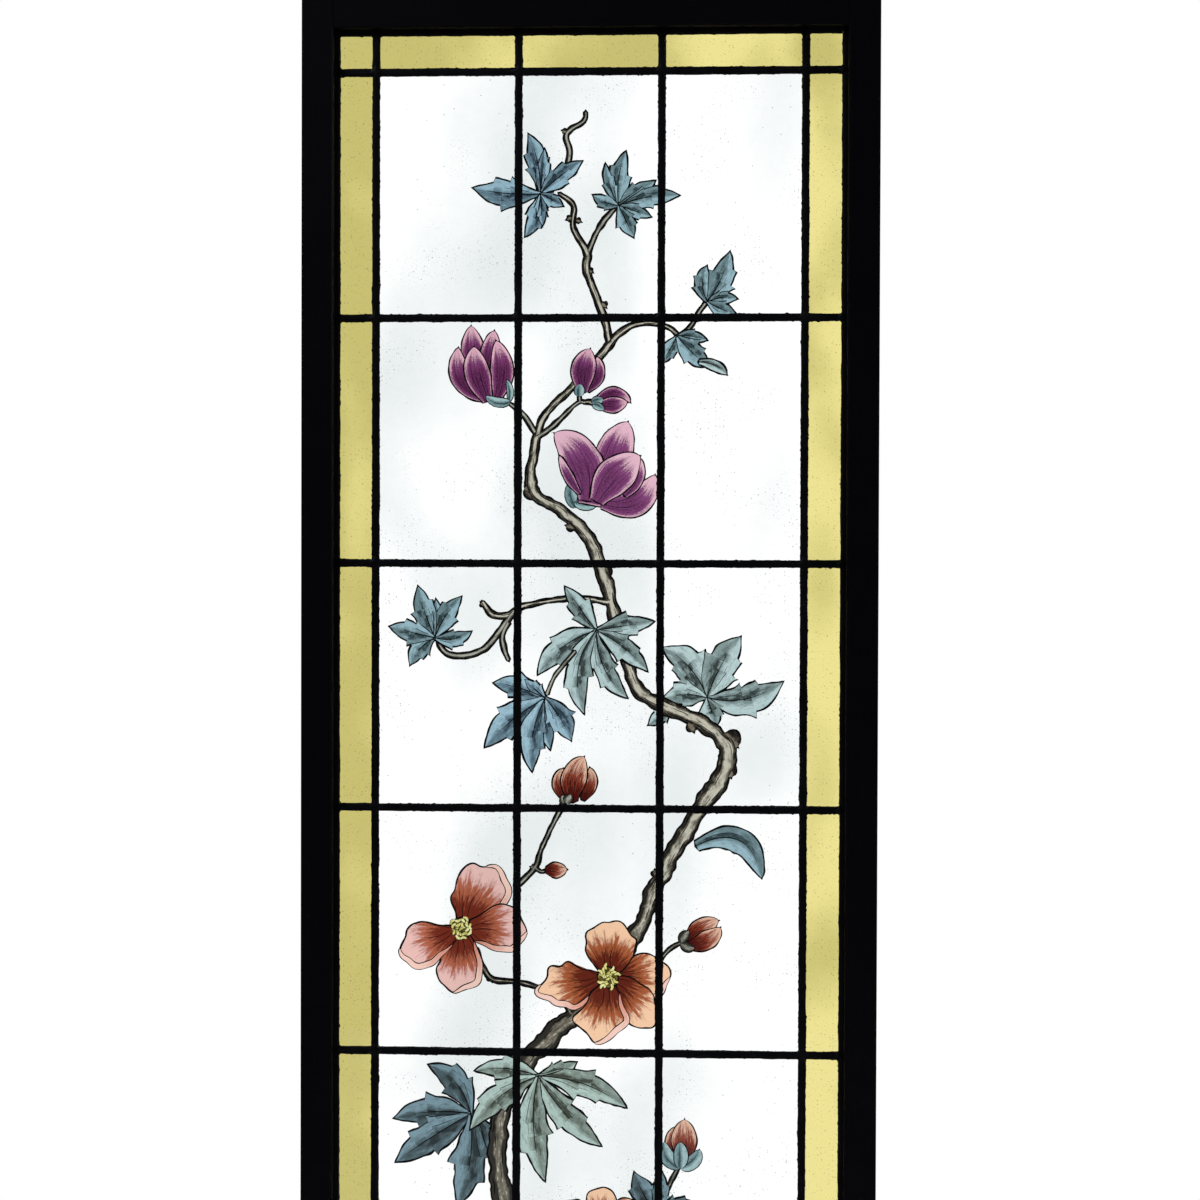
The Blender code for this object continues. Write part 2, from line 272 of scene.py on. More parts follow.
def petalShade(name):
    # deep paint runs out of the flower's heart, breaks up into streaks, and leaves a pale rim
    shade = Shade(name, paintLook)
    manner = petalBrush[name]
    along, across = shade.split(shade.map("figure"))
    brush = shade.map("brush")
    streaks = shade.cloud(shade.stretched(shade.map("figure"), (0.8, 6.5, 1)), 2.2, 3.0, 0.62)
    hatch = shade.cloud(shade.stretched(brush, (6, 34, 1)), 3.0, 3.0, 0.6)
    grain = shade.cloud(brush, 140, 2.0, 0.6)
    stray = (streaks - 0.5) * manner["ragged"] + (hatch - 0.5) * manner["hatch"]
    amount = along * manner["slope"] + manner["shift"] + stray + (grain - 0.5) * 0.3
    rim = abs(across).within(0.5, 1.0) * along.within(0.15, 0.6) * 0.4
    shade.feed("Base Color", tones(shade, amount + rim, name))
    return shade.material


def purpleShade(name):
    # deep in the middle of each petal, with a pale pink edge and tip
    shade = Shade(name, paintLook)
    along, across = shade.split(shade.map("figure"))
    brush = shade.map("brush")
    streaks = shade.cloud(shade.stretched(shade.map("figure"), (0.8, 6, 1)), 2.4, 3.0, 0.6)
    grain = shade.cloud(brush, 60, 2.0, 0.6)
    tip = 0.85 if name == "purpleOpen" else 0.75
    rim = abs(across).within(0.5, 1.0) * 0.5 + along.within(0.5, 1.0) * tip
    amount = rim + (streaks - 0.5) * 1.2 + (grain - 0.5) * 0.6 + (0.24 if name == "purpleOpen" else 0.14)
    shade.feed("Base Color", tones(shade, amount, name))
    return shade.material


def leafShade(name):
    # a granular dark wash by the rib and on one side of it, with pale places towards the edge
    shade = Shade(name, paintLook)
    along, across = shade.split(shade.map("figure"))
    brush = shade.map("brush")
    wash = shade.cloud(shade.stretched(brush, (4, 9, 1)), 2.4, 3.0, 0.6)
    hatch = shade.cloud(shade.stretched(brush, (5, 26, 1)), 3.2, 3.0, 0.65)
    grain = shade.cloud(brush, 150, 2.0, 0.6)
    stray = across + (wash - 0.5) * 0.5
    shadow = stray.within(-0.06, 0.1) * (1 - stray.within(0.2, 0.8)) * (1 - along.within(0.45, 0.95) * 0.7)
    light = (1 - stray.within(-0.5, -0.05)) * 0.34
    amount = 0.54 + light - shadow * 0.55 + (wash - 0.5) * 1.15 + (hatch - 0.5) * 0.8 + (grain - 0.5) * 0.4
    shade.feed("Base Color", tones(shade, amount, name))
    return shade.material


def barkShade(name):
    # lit along the middle, dark at the sides and in blotches
    shade = Shade(name, paintLook)
    along, across = shade.split(shade.map("figure"))
    brush = shade.map("brush")
    blotch = shade.cloud(shade.stretched(brush, (5, 14, 1)), 1.7, 3.0, 0.6)
    hatch = shade.cloud(shade.stretched(brush, (10, 46, 1)), 2.4, 2.0, 0.6)
    side = abs(across + 0.12).within(0.3, 0.86)
    height = shade.node("SeparateXYZ", sockets={0: shade.here()}, out=2).within(0.3, 0.62)
    amount = 0.44 + height * 0.44 - side * 0.95 + (blotch - 0.5) * 2.0 + (hatch - 0.5) * 0.9
    shade.feed("Base Color", tones(shade, amount, name))
    return shade.material


def plainPaintShade(name):
    shade = Shade(name, paintLook)
    blotch = shade.cloud(shade.here(), 160, 3.0, 0.6)
    shade.feed("Base Color", tones(shade, blotch.within(0.25, 0.75), name))
    return shade.material


def inkShade():
    # fired black trace line, which lets no light through
    shade = Shade("ink", {"Roughness": 0.62, "Specular IOR Level": 0.15})
    worn = shade.cloud(shade.here(), 240, 3.0, 0.6).within(0.55, 0.8)
    shade.feed("Base Color", shade.blend(worn, linear(9, 10, 12), linear(34, 32, 32)))
    return shade.material


shadeMakers = {"purple": purpleShade, "purpleOpen": purpleShade}
shadeMakers.update({name: barkShade for name in ("bark", "burr", "stem")})
shadeMakers.update({name: petalShade for name in ("petalRose", "petalPeach", "budRed", "curlPink")})
shadeMakers.update({name: leafShade for name in paints if name.startswith("leaf") or name == "sepal"})
materials = {name: shadeMakers.get(name, plainPaintShade)(name) for name in paints}
materials["ink"] = inkShade()
materials["clear"] = glassShade("clear_glass", glass["clear"], glass["clearDull"], 7.0, True)
materials["amber"] = glassShade("amber_glass", glass["amber"], glass["amberDeep"], 11.0, False)
print("stage: paints and glass mixed")


# Brush strokes. The window keeps the photograph's layout: where each leaf, flower and branch lies, how far it
# reaches and its colour. Their shapes are generic, drawn by the functions here. Places are across and down in
# the photograph's pixels, read off, and a pixel is a millimetre.

picture = {
    "middle": 590.5,  # the photograph's column at the window's middle
    "top": -0.6,  # and its row at the top of the frame
    "ink": 1.9,  # the width of a form's outline
    "step": 2.6,  # between the places along a branch or a sepal
    "lobeStep": 1.7,  # and along a lobe or a petal
}
overrun = {"foot": 1.3, "tip": 1.6}  # how far ink runs past a form's ends, as shares of its line
strokes = []


def onPanel(across, down):
    return Vector((across - picture["middle"], windowTop - (down - picture["top"])))


def wander(place, seed, scale):
    # a slow unevenness of the hand, about -1 to 1
    return noise.noise(Vector((place[0] * scale, place[1] * scale, seed * 7.3 + 0.5)))


def curveThrough(points):
    # a smooth run through points, whose widths are carried along
    padded = [points[0], *points, points[-1]]
    found = []
    for a, b, c, d in zip(padded, padded[1:], padded[2:], padded[3:]):
        count = max(2, round(math.dist(b[:2], c[:2]) / picture["step"]))
        for at in range(count):
            t = at / count
            found.append([
                q + 0.5 * t * (r - p + t * (2 * p - 5 * q + 4 * r - s + t * (3 * (q - r) + s - p)))
                for p, q, r, s in zip(a, b, c, d)
            ])
    return found + [list(points[-1])]


class Form:
    # A strip of paint along a spine, with a half width on either side at each of its places
    def __init__(self, spine, left, right, seed):
        self.spine = spine
        self.left = left
        self.right = right
        self.seed = seed

    def normals(self):
        found = []
        last = len(self.spine) - 1
        for at in range(last + 1):
            way = self.spine[min(at + 1, last)] - self.spine[max(at - 1, 0)]
            way = way.normalized() if way.length > 0 else Vector((1.0, 0.0))
            found.append(Vector((-way.y, way.x)))
        return found

    def grown(self, ink):
        # the same form a line's width larger all round
        first = (self.spine[0] - self.spine[1]).normalized() * ink * overrun["foot"]
        end = (self.spine[-1] - self.spine[-2]).normalized() * ink * overrun["tip"]
        spine = [self.spine[0] + first, *self.spine, self.spine[-1] + end]
        widths = []
        for side, seed in ((self.left, self.seed), (self.right, self.seed + 3)):
            line = [half + ink * (1 + 0.6 * wander(p, seed, 0.13)) for half, p in zip(side, self.spine)]
            widths.append([0.0, *line, 0.0])
        return Form(spine, *widths, self.seed)

    def lay(self, paint):
        places = []
        length = 0.0
        total = sum((b - a).length for a, b in zip(self.spine, self.spine[1:])) or 1.0
        normals = self.normals()
        for at, point in enumerate(self.spine):
            if at:
                length += (point - self.spine[at - 1]).length
            for half, side in ((self.left[at], 1), (-self.right[at], -1)):
                corner = point + normals[at] * half
                figure = (length / total, side)
                brush = (length / 100 + self.seed * 3.7, half / 100 + self.seed * 1.9)
                places.append((corner, figure, brush))
        trios = []
        edges = []
        for at in range(0, len(places) - 2, 2):
            a, b, c, d = places[at : at + 4]
            trios += [trio for trio in ((a, b, d), (a, d, c)) if abs(area(trio)) > 0.003]
            edges += [(a[0], c[0]), (b[0], d[0])]
            if at and paint != "ink":
                edges.append((a[0], b[0]))  # keeps the brush's run true inside a wide form
        strokes.append({"paint": paint, "trios": trios, "edges": edges})

    def layInked(self, paint, ink):
        self.grown(ink).lay("ink")
        self.lay(paint)


def area(trio):
    a, b, c = [corner[0] for corner in trio]
    return (b - a).cross(c - a) / 2


def hair(spine, width, seed, start):
    # a stroke of the fine brush, thinning out towards both ends
    last = len(spine) - 1
    turns = [math.pi * (start + (0.98 - start) * at / last) for at in range(last)]
    half = [*(width / 2 * math.sin(turn) ** 0.55 for turn in turns), 0.0]
    Form(spine, half, half, seed).lay("ink")


def eased(count):
    # shares of a length, closer together towards its ends
    return [(1 - math.cos(math.pi * at / count)) / 2 for at in range(count + 1)]


def bowed(base, tip, bend, shares):
    # a spine from base to tip, which bend bows to its left
    start, stop = onPanel(*base), onPanel(*tip)
    way = stop - start
    side = Vector((-way.y, way.x))
    return [start + way * s + side * bend * 4 * s * (1 - s) for s in shares]


def swelling(share, foot, tip):
    # a half width over 0 to 1 that rises from the foot, and falls to nothing at the tip
    peak = foot / (foot + tip)
    return (share ** foot) * ((1 - share) ** tip) / (peak ** foot * (1 - peak) ** tip)


def blade(base, tip, width, bend, foot, end, wave, seed):
    # a rounded tongue from base to tip
    shares = eased(max(8, round(math.dist(base, tip) / picture["step"])))
    spine = bowed(base, tip, bend, shares)
    sides = []
    for turn in (0, 5):
        half = []
        for share, place in zip(shares, spine):
            wide = width / 2 * swelling(share, foot, end)
            half.append(wide * (1 + wave * 2 * wander(place, seed + turn, 0.06)))
        sides.append([0.0, *half[1:-1], 0.0])
    return Form(spine, *sides, seed)


def profile(share, look):
    # a half width over 0 to 1: out from a slim foot to the broadest place, then round to the tip
    broadest = look["broadest"]
    if share < broadest:
        return look["foot"] + (1 - look["foot"]) * math.sin(share / broadest * math.pi / 2) ** 1.3
    return (1 - ((share - broadest) / (1 - broadest)) ** look["fullness"]) ** look["point"]


looks = {
    "leaf": {
        "foot": 0.12, "broadest": 0.5, "fullness": 1.6, "point": 1.0,
        "teeth": (0.7, 0.56, 0.44), "wave": 0.24,
    },
    "tongue": {"foot": 0.4, "broadest": 0.5, "fullness": 1.9, "point": 0.7, "teeth": (), "wave": 0.1},
    "petal": {"foot": 0.2, "broadest": 0.62, "fullness": 2.3, "point": 0.62, "teeth": (), "wave": 0.3},
}
tooth = {"rise": 0.26, "run": 0.13, "nick": 0.18, "fall": 0.2}


def toothed(share, place):
    # how a tooth that points forward changes the half width near it
    before = place - share
    if 0 <= before < tooth["run"]:
        return 1 + tooth["rise"] * (1 - before / tooth["run"]) ** 2
    if -tooth["fall"] < before < -0.01:
        return 1 - tooth["nick"] * (1 + before / tooth["fall"])
    return 1.0


def lobe(base, tip, width, bend, seed, kind):
    # a leaf's finger or a petal
    look = looks[kind]
    steps = {place + nick for place in look["teeth"] for nick in (0, 0.02)}
    count = max(14, round(math.dist(base, tip) / picture["lobeStep"]))
    shares = sorted(steps.union(eased(count)))
    spine = bowed(base, tip, bend, shares)
    sides = []
    for turn in (0, 1):
        teeth = look["teeth"][(seed + turn) % 2 :: 2]
        half = []
        for share, place in zip(shares, spine):
            wide = profile(share, look) * (1 + look["wave"] * wander(place, seed + turn * 5, 0.06))
            for at in teeth:
                wide *= toothed(share, at)
            half.append(width / 2 * wide)
        sides.append([*half[:-1], 0.0])
    return Form(spine, *sides, seed)


def along(form, offset, start, stop, width):
    # a fine line that follows a form, offset to one side by a share of its width
    last = len(form.spine) - 1
    first = round(last * start)
    kept = range(first, min(max(round(last * stop), first + 3), last + 1))
    normals = form.normals()
    wide = form.left if offset > 0 else form.right
    spine = [form.spine[at] + normals[at] * wide[at] * offset for at in kept]
    if len(spine) > 2:
        hair(spine, width, form.seed, 0.15)


def branch(points, seed, wave):
    # points are across, down and width
    route = curveThrough(points)
    spine = [onPanel(*p[:2]) for p in route]
    sides = []
    for turn in (0, 9):
        half = []
        for point, place in zip(route, spine):
            sway = wander(place, seed + turn, 0.06) + 0.5 * wander(place, seed + turn, 0.16)
            half.append(point[2] / 2 * (1 + wave * sway))
        sides.append(half)
    return Form(spine, *sides, seed)


def knot(across, down, size, turn, seed):
    # a stub or burr on a branch
    reach = Vector((math.cos(turn), math.sin(turn))) * size * 0.55
    start = (across - reach.x, down - reach.y)
    end = (across + reach.x, down + reach.y)
    return blade(start, end, size, 0.0, 0.42, 0.42, 0.1, seed)


def stamens(middle, size, seed):
    # a close cluster of curled threads with dark gaps between
    threads = 19
    knot(*middle, size * 0.92, 1.2, seed).lay("ink")
    knot(*middle, size * 0.8, 1.2, seed).lay("pollen")
    for number in range(threads):
        turn = number * 2.4 + seed
        out = size * 0.45 * math.sqrt((number + 0.4) / threads)
        across, down = middle[0] + out * math.cos(turn), middle[1] + out * math.sin(turn) * 1.12
        reach, bow = size * 0.13, turn * 2.3
        hook = [
            (across - reach * math.cos(bow), down - reach * math.sin(bow), 1.4),
            (across + reach * 0.5 * math.sin(bow), down - reach * 0.5 * math.cos(bow), 2.7),
            (across + reach * math.cos(bow), down + reach * math.sin(bow), 1.5),
        ]
        branch(hook, seed + number, 0.1).layInked("stamen", 0.5)


class Petal:
    # An open flower's petal, broad and round, whose paint runs outwards from the flower's heart
    def __init__(self, heart, tip, width, bend, seed):
        form = lobe(heart, tip, width, bend, seed, "petal")
        normals = form.normals()
        self.heart = form.spine[0]
        self.seed = seed
        self.spine = form.spine
        self.sides = [
            [place + normal * half * turn for place, normal, half in zip(form.spine, normals, halves)]
            for turn, halves in ((1, form.left), (-1, form.right))
        ]
        self.rim = [self.uneven(place) for place in self.sides[0][1:] + self.sides[1][-2:0:-1]]
        self.reach = max((place - self.heart).length for place in self.rim)

    def uneven(self, place):
        # the rim waves in and out a little
        return self.heart + (place - self.heart) * (1 + 0.16 * wander(place, self.seed + 9, 0.055))

    def lay(self, paint):
        gone = [0.0]
        for a, b in zip(self.rim, self.rim[1:]):
            gone.append(gone[-1] + (b - a).length)

        def corner(place, across):
            out = (place - self.heart).length
            brush = (out / 100 + self.seed * 3.7, across * self.reach / 220 + self.seed * 1.9)
            return place, (out / self.reach, across), brush

        trios = []
        edges = []
        for at, (a, b) in enumerate(zip(self.rim, self.rim[1:])):
            near, far = [2 * length / gone[-1] - 1 for length in gone[at : at + 2]]
            trio = (corner(self.heart, (near + far) / 2), corner(a, near), corner(b, far))
            if abs(area(trio)) > 0.003:
                trios.append(trio)
            edges += [(a, b), (self.heart, a)]
        strokes.append({"paint": paint, "trios": trios, "edges": edges})

    def ink(self, width):
        half = [width / 2 * (1 + 0.5 * wander(place, self.seed, 0.13)) for place in self.rim]
        Form(self.rim, half, half, self.seed).lay("ink")

    def rays(self, width):
        # a few fine lines out of the heart
        for share, stop in ((0.24, 0.62), (0.42, 0.5), (0.55, 0.66), (0.76, 0.55)):
            edge = self.rim[round(share * (len(self.rim) - 1))]
            way = (edge - self.heart) * (stop + 0.1 * wander(edge, self.seed, 0.3))
            side = Vector((-way.y, way.x)) * 0.07
            steps = [at / 8 for at in range(9)]
            spine = [self.heart + way * (0.3 + 0.7 * s) + side * math.sin(s * math.pi) for s in steps]
            hair(spine, width, self.seed, 0.3)

    def turnOver(self, side, width):
        # the edge on one side rolled over, and lying just inside the rim
        first, last = round(len(self.spine) * 0.3), len(self.spine) - 2
        places = []
        halves = []
        for at in range(first, last + 1):
            edge = self.sides[0 if side > 0 else 1][at]
            inward = self.spine[at] - edge
            half = width / 2 * max(0.0, math.sin(math.pi * (at - first) / (last - first))) ** 0.7
            places.append(self.uneven(edge) + inward.normalized() * half)
            halves.append(half)
        Form(places, halves, halves, self.seed).layInked("curlPink", 0.95)


# The tree

tree = {
    "trunk": [
        (500, 1296, 22), (505, 1225, 21), (501, 1160, 19), (503, 1120, 18), (527, 1070, 20), (553, 1036, 22),
        (600, 996, 19), (640, 932, 16), (660, 882, 17), (698, 815, 18), (722, 780, 18), (731, 748, 17),
        (706, 724, 17), (668, 706, 15), (639, 688, 14), (620, 628, 14), (606, 578, 14), (592, 540, 14),
        (563, 510, 13), (534, 491, 12), (536, 446, 9), (545, 416, 8), (576, 384, 8), (611, 344, 8),
    ],
    "top": [
        (611, 344, 8), (605, 318, 8), (588, 272, 8), (588, 254, 8), (574, 228, 6), (574, 206, 6),
        (560, 194, 4),
    ],
    "twig": [(568, 168, 7), (570, 152, 6), (567, 134, 6), (584, 122, 5), (586, 113, 1)],
    "toSecondLeaf": [(589, 252, 6), (596, 235, 6), (604, 222, 6), (615, 209, 5)],
    "rightBranch": [
        (607, 348, 9), (620, 334, 8), (634, 325, 6), (652, 323, 5.5), (668, 327, 5.5), (680, 336, 5),
    ],
    "toRightLeaf": [(679, 336, 4), (690, 328, 5), (698, 315, 5), (706, 303, 5)],
    "toClosedFlower": [(536, 432, 6), (526, 416, 6), (510, 403, 5)],
    "toBuds": [(538, 437, 6), (547, 431, 6), (556, 424, 5.5), (568, 412, 5), (580, 402, 4.5), (590, 402, 4)],
    "toUpperBud": [(581, 402, 4), (580, 394, 5)],
    "toLowerBud": [(584, 402, 4), (592, 402, 7), (600, 405, 8)],
    "leftBranch": [(611, 602, 8), (570, 598, 6), (525, 606, 7), (510, 615, 8), (494, 615, 7), (484, 602, 5)],
    "leftFork": [(514, 613, 7), (489, 646, 7), (466, 656, 7), (446, 652, 6), (437, 636, 4)],
    "leftSpur": [(510, 622, 7), (504, 636, 6), (506, 650, 6), (510, 660, 5)],
    "toFirstFlower": [(574, 1016, 8), (562, 998, 5), (526, 984, 5.5), (493, 980, 6), (479, 950, 4)],
    "toTallBud": [(517, 889, 6), (537, 868, 6), (545, 846, 5), (568, 799, 6)],
    "toTinyBud": [(537, 868, 5), (543, 872, 3.5), (550, 871, 3)],
    "toRightBud": [(660, 966, 5), (667, 955, 5), (676, 946, 5), (688, 941, 5)],
    "toLowBud": [(640, 1262, 6), (655, 1236, 5), (666, 1206, 5), (674, 1184, 5), (683, 1166, 6)],
    "lowRamble": [(508, 1280, 9), (545, 1268, 8), (590, 1262, 7), (640, 1262, 6)],
}
knots = [
    (565, 132, 6, 0.3), (570, 219, 6, 2.8), (579, 221, 6, 0.4), (591, 271, 6, 0.6), (605, 305, 7, 0.9),
    (533, 491, 16, 0.6), (572, 526, 10, 0.2), (607, 571, 14, 1.4), (694, 726, 11, 1.2), (733, 739, 19, 0.8),
    (731, 768, 17, 1.3), (658, 873, 8, 1.4), (541, 1049, 14, 1.2), (493, 980, 7, 1.2), (536, 868, 7, 0.2),
    (484, 604, 6, 0.8),
]


barkLines = {"offsets": (-0.62, 0.3, 0.7, -0.3), "widths": (1.3, 0.8)}
thinBranch = 7.5  # a branch that is nowhere wider is painted as a stem


def paintTree():
    ink = picture["ink"]
    thin = [name for name, points in tree.items() if max(p[2] for p in points) < thinBranch]
    forms = []
    for number, (name, points) in enumerate(tree.items()):
        slim = [(*p[:2], max(p[2] - 1.5 * ink, 1.6)) for p in points]
        forms.append(branch(slim, 11 + number, 0.3 if name in thin else 0.42))
    burrs = [knot(*spot[:2], spot[2] - ink, spot[3], 40 + number) for number, spot in enumerate(knots)]
    for form in forms + burrs:
        form.grown(ink).lay("ink")
    for form in burrs:
        form.lay("burr")
    for name, form in zip(tree, forms):
        form.lay("stem" if name in thin else "bark")
    for form in [form for name, form in zip(tree, forms) if name not in thin]:
        count = len(form.spine) // 6
        for number in range(count):
            start = (number + 0.2) / (count + 1)
            offset = barkLines["offsets"][number % 4]
            along(form, offset, start, start + 1.3 / (count + 1), barkLines["widths"][number % 2])


# Leaves: where the ribs meet, then each lobe's tip, width as a share of its length, and bend

leaves = {
    "rightOfTrunk": {"paint": "leafGrey", "middle": (709, 697), "lobes": [
        ((665, 647), 0.52, -0.11), ((742, 636), 0.5, 0.04), ((784, 681), 0.4, -0.12),
        ((665, 699), 0.5, -0.1), ((718, 725), 0.72, 0.0)]},
    "behindTrunk": {"paint": "leafGrey", "middle": (674, 708), "lobes": [((651, 724), 0.5, 0.0)]},
    "lowLeft": {"paint": "leafDeep", "middle": (473, 1117), "lobes": [
        ((487, 1157), 0.42, 0.12), ((431, 1068), 0.4, -0.14), ((396, 1122), 0.36, -0.06),
        ((398, 1166), 0.36, -0.02), ((460, 1209), 0.34, 0.06)]},
    "topLeft": {"paint": "leafBlue", "middle": (541, 194), "lobes": [
        ((529, 135), 0.34, -0.06), ((545, 150), 0.28, 0.0), ((582, 162), 0.36, 0.03),
        ((474, 188), 0.38, 0.03), ((526, 236), 0.38, 0.08), ((543, 225), 0.36, 0.0), ((563, 206), 0.5, 0.0)]},
    "topRight": {"paint": "leafTeal", "middle": (619, 206), "lobes": [
        ((626, 153), 0.36, 0.06), ((606, 165), 0.26, 0.05), ((594, 196), 0.5, 0.06), ((655, 182), 0.4, 0.0),
        ((679, 196), 0.32, 0.05), ((651, 217), 0.4, 0.0), ((634, 237), 0.5, 0.0)]},
    "smallUpper": {"paint": "leafTeal", "middle": (708, 302), "lobes": [
        ((707, 267), 0.5, 0.12), ((730, 253), 0.42, -0.06),
        ((737, 299), 0.44, 0.08), ((736, 314), 0.5, -0.05)]},
    "smallLower": {"paint": "leafTeal", "middle": (678, 336), "lobes": [
        ((663, 363), 0.46, 0.0), ((707, 340), 0.42, 0.05), ((709, 366), 0.54, -0.04)]},
    "tail": {"paint": "leafGrey", "kind": "tongue", "middle": (700, 362), "lobes": [((727, 374), 0.32, 0.1)]},
    "farLeft": {"paint": "leafTeal", "middle": (436, 638), "lobes": [
        ((437, 600), 0.34, -0.04), ((419, 587), 0.42, 0.02), ((462, 597), 0.4, 0.05),
        ((472, 632), 0.44, -0.12), ((411, 665), 0.5, -0.1), ((391, 627), 0.46, 0.0)]},
    "greatGrey": {"paint": "leafGrey", "middle": (598, 630), "lobes": [
        ((567, 587), 0.38, 0.0), ((655, 621), 0.36, 0.0), ((649, 670), 0.32, 0.05),
        ((629, 697), 0.3, -0.12), ((540, 674), 0.36, -0.1), ((586, 713), 0.29, -0.15)]},
    "tuft": {"paint": "leafGreen", "middle": (541, 1078), "lobes": [
        ((478, 1073), 0.34, -0.08), ((473, 1132), 0.31, -0.09), ((579, 1064), 0.42, -0.06),
        ((629, 1108), 0.28, 0.08), ((604, 1147), 0.27, -0.06), ((548, 1183), 0.28, -0.08)]},
    "lowRight": {"paint": "leafDeep", "middle": (661, 1214), "lobes": [
        ((638, 1174), 0.52, 0.05), ((666, 1174), 0.4, 0.0), ((702, 1208), 0.44, 0.06),
        ((690, 1250), 0.42, 0.08), ((644, 1252), 0.44, -0.05)]},
    "blue": {"paint": "leafBlue", "middle": (547, 698), "lobes": [
        ((496, 683), 0.42, -0.05), ((527, 680), 0.44, 0.0), ((487, 747), 0.36, -0.05),
        ((552, 749), 0.34, -0.05), ((534, 771), 0.36, -0.08), ((573, 740), 0.48, 0.04)]},
    "curved": {"paint": "leafTeal", "kind": "tongue", "middle": (699, 845), "lobes": [
        ((764, 876), 0.33, 0.32)]},
}
ribs = {"stops": (0.78, 0.6, 0.7), "width": 1.1, "veinOffsets": (0.45, -0.4), "veinWidth": 0.6}


def paintLeaf(name):
    # ink under all the lobes first, so that they join up inside one line
    about = leaves[name]
    ink = picture["ink"]
    middle = about["middle"]
    seed = 60 + 8 * list(leaves).index(name)
    forms = []
    for number, (tip, share, bend) in enumerate(about["lobes"]):
        width = math.dist(middle, tip) * share
        forms.append(lobe(middle, tip, width, bend, seed + number, about.get("kind", "leaf")))
    for form in forms:
        form.grown(ink).lay("ink")
    for form in forms:
        form.layInked(about["paint"], ink * 0.5)
    for number, form in enumerate(forms):
        along(form, 0.03, 0.0, ribs["stops"][number % 3], ribs["width"])
        along(form, ribs["veinOffsets"][number % 2], 0.2, 0.55, ribs["veinWidth"])


# Open flowers: each petal's tip, width and bend, and the side whose edge is rolled over, if any

flowers = {
    "rose": {"paint": "petalRose", "heart": (463, 930), "cluster": 23, "petals": [
        ((487, 867), 56, -0.06, -1), ((530, 932), 44, 0.0, -1),
        ((454, 993), 48, 0.05, 1), ((401, 950), 42, 0.06, 1)]},
    "peach": {"paint": "petalPeach", "heart": (611, 978), "cluster": 23, "petals": [
        ((673, 976), 44, 0.0, -1), ((616, 922), 56, 0.0, 0), ((541, 985), 44, 0.06, 1),
        ((652, 1025), 40, 0.06, 0), ((597, 1041), 46, 0.04, 1)]},
    "lowest": {"paint": "petalPeach", "heart": (603, 1227), "cluster": 21, "petals": [
        ((652, 1212), 36, 0.0, 0), ((607, 1188), 32, 0.0, 0), ((554, 1213), 38, 0.04, 1),
        ((638, 1266), 36, 0.06, 0), ((579, 1271), 38, 0.04, 1)]},
}


def paintOpenFlower(name):
    about = flowers[name]
    seed = 120 + 11 * list(flowers).index(name)
    for number, (tip, width, bend, rolled) in enumerate(about["petals"]):
        petal = Petal(about["heart"], tip, width, bend, seed + number)
        petal.lay(about["paint"])
        petal.rays(0.7)
        petal.ink(1.65)
        if rolled:
            petal.turnOver(rolled, 5.5)
    stamens(about["heart"], about["cluster"], seed)


# Closed flowers and buds: each petal's foot, tip, width and bend, the hindmost first

magnolias = {
    "closed": [
        ((478, 380), (472, 326), 22, 0.02), ((490, 380), (495, 331), 20, 0.03),
        ((487, 398), (459, 348), 21, 0.2), ((497, 399), (497, 341), 22, -0.1),
        ((489, 400), (475, 347), 25, 0.07)],
    "open": [
        ((580, 498), (644, 491), 20, -0.02), ((604, 486), (629, 422), 35, 0.02),
        ((588, 500), (556, 433), 39, -0.16), ((581, 493), (561, 456), 9, 0.04),
        ((604, 502), (656, 475), 28, -0.25), ((626, 495), (641, 458), 14, -0.11),
        ((598, 501), (641, 456), 36, 0.07)],
    "upperBud": [((588, 390), (598, 357), 12, -0.18), ((584, 392), (591, 349), 24, 0.07)],
    "lowerBud": [((598, 401), (631, 402), 15, 0.2), ((599, 405), (628, 402), 15, -0.03)],
}
redBuds = {
    "tall": [
        ((568, 799), (565, 769), 13, 0.17), ((584, 799), (592, 768), 12, -0.16),
        ((575, 802), (586, 757), 24, 0.1)],
    "tiny": [((548, 871), (569, 870), 15, 0.0)],
    "right": [((689, 941), (721, 920), 18, 0.08), ((691, 945), (723, 927), 18, -0.12)],
    "low": [((680, 1159), (679, 1128), 13, 0.12), ((687, 1162), (688, 1120), 25, 0.0)],
}
sepals = {
    "closed": [((510, 401), (508, 380), 6, -0.1), ((511, 401), (487, 396), 9, 0.14)],
    "open": [((578, 507), (573, 482), 13, 0.1), ((576, 502), (599, 502), 11, -0.1)],
    "upperBud": [((580, 396), (581, 384), 9, 0.0)],
    "lowerBud": [((593, 402), (604, 399), 8, 0.0), ((594, 404), (605, 409), 7, 0.0)],
    "tall": [((568, 803), (564, 796), 9, 0.0), ((568, 803), (573, 795), 9, 0.0)],
    "right": [((684, 943), (692, 931), 9, 0.1), ((684, 943), (697, 948), 9, -0.1)],
    "low": [
        ((684, 1168), (668, 1143), 14, 0.18), ((684, 1168), (703, 1150), 14, -0.16),
        ((684, 1169), (684, 1143), 14, 0.0)],
}


def paintTongues(group, paint, seed):
    for number, (foot, tip, width, bend) in enumerate(group):
        form = lobe(foot, tip, width, bend, seed + number, "tongue")
        form.layInked(paint, 1.55)
        along(form, -0.2, 0.1, 0.55, 0.6)
        along(form, 0.42, 0.15, 0.7, 0.5)


def paintSepals(name, paint="sepal"):
    for foot, tip, wide, bend in sepals[name]:
        blade(foot, tip, wide, bend, 0.5, 0.6, 0.08, 210).layInked(paint, 1.0)


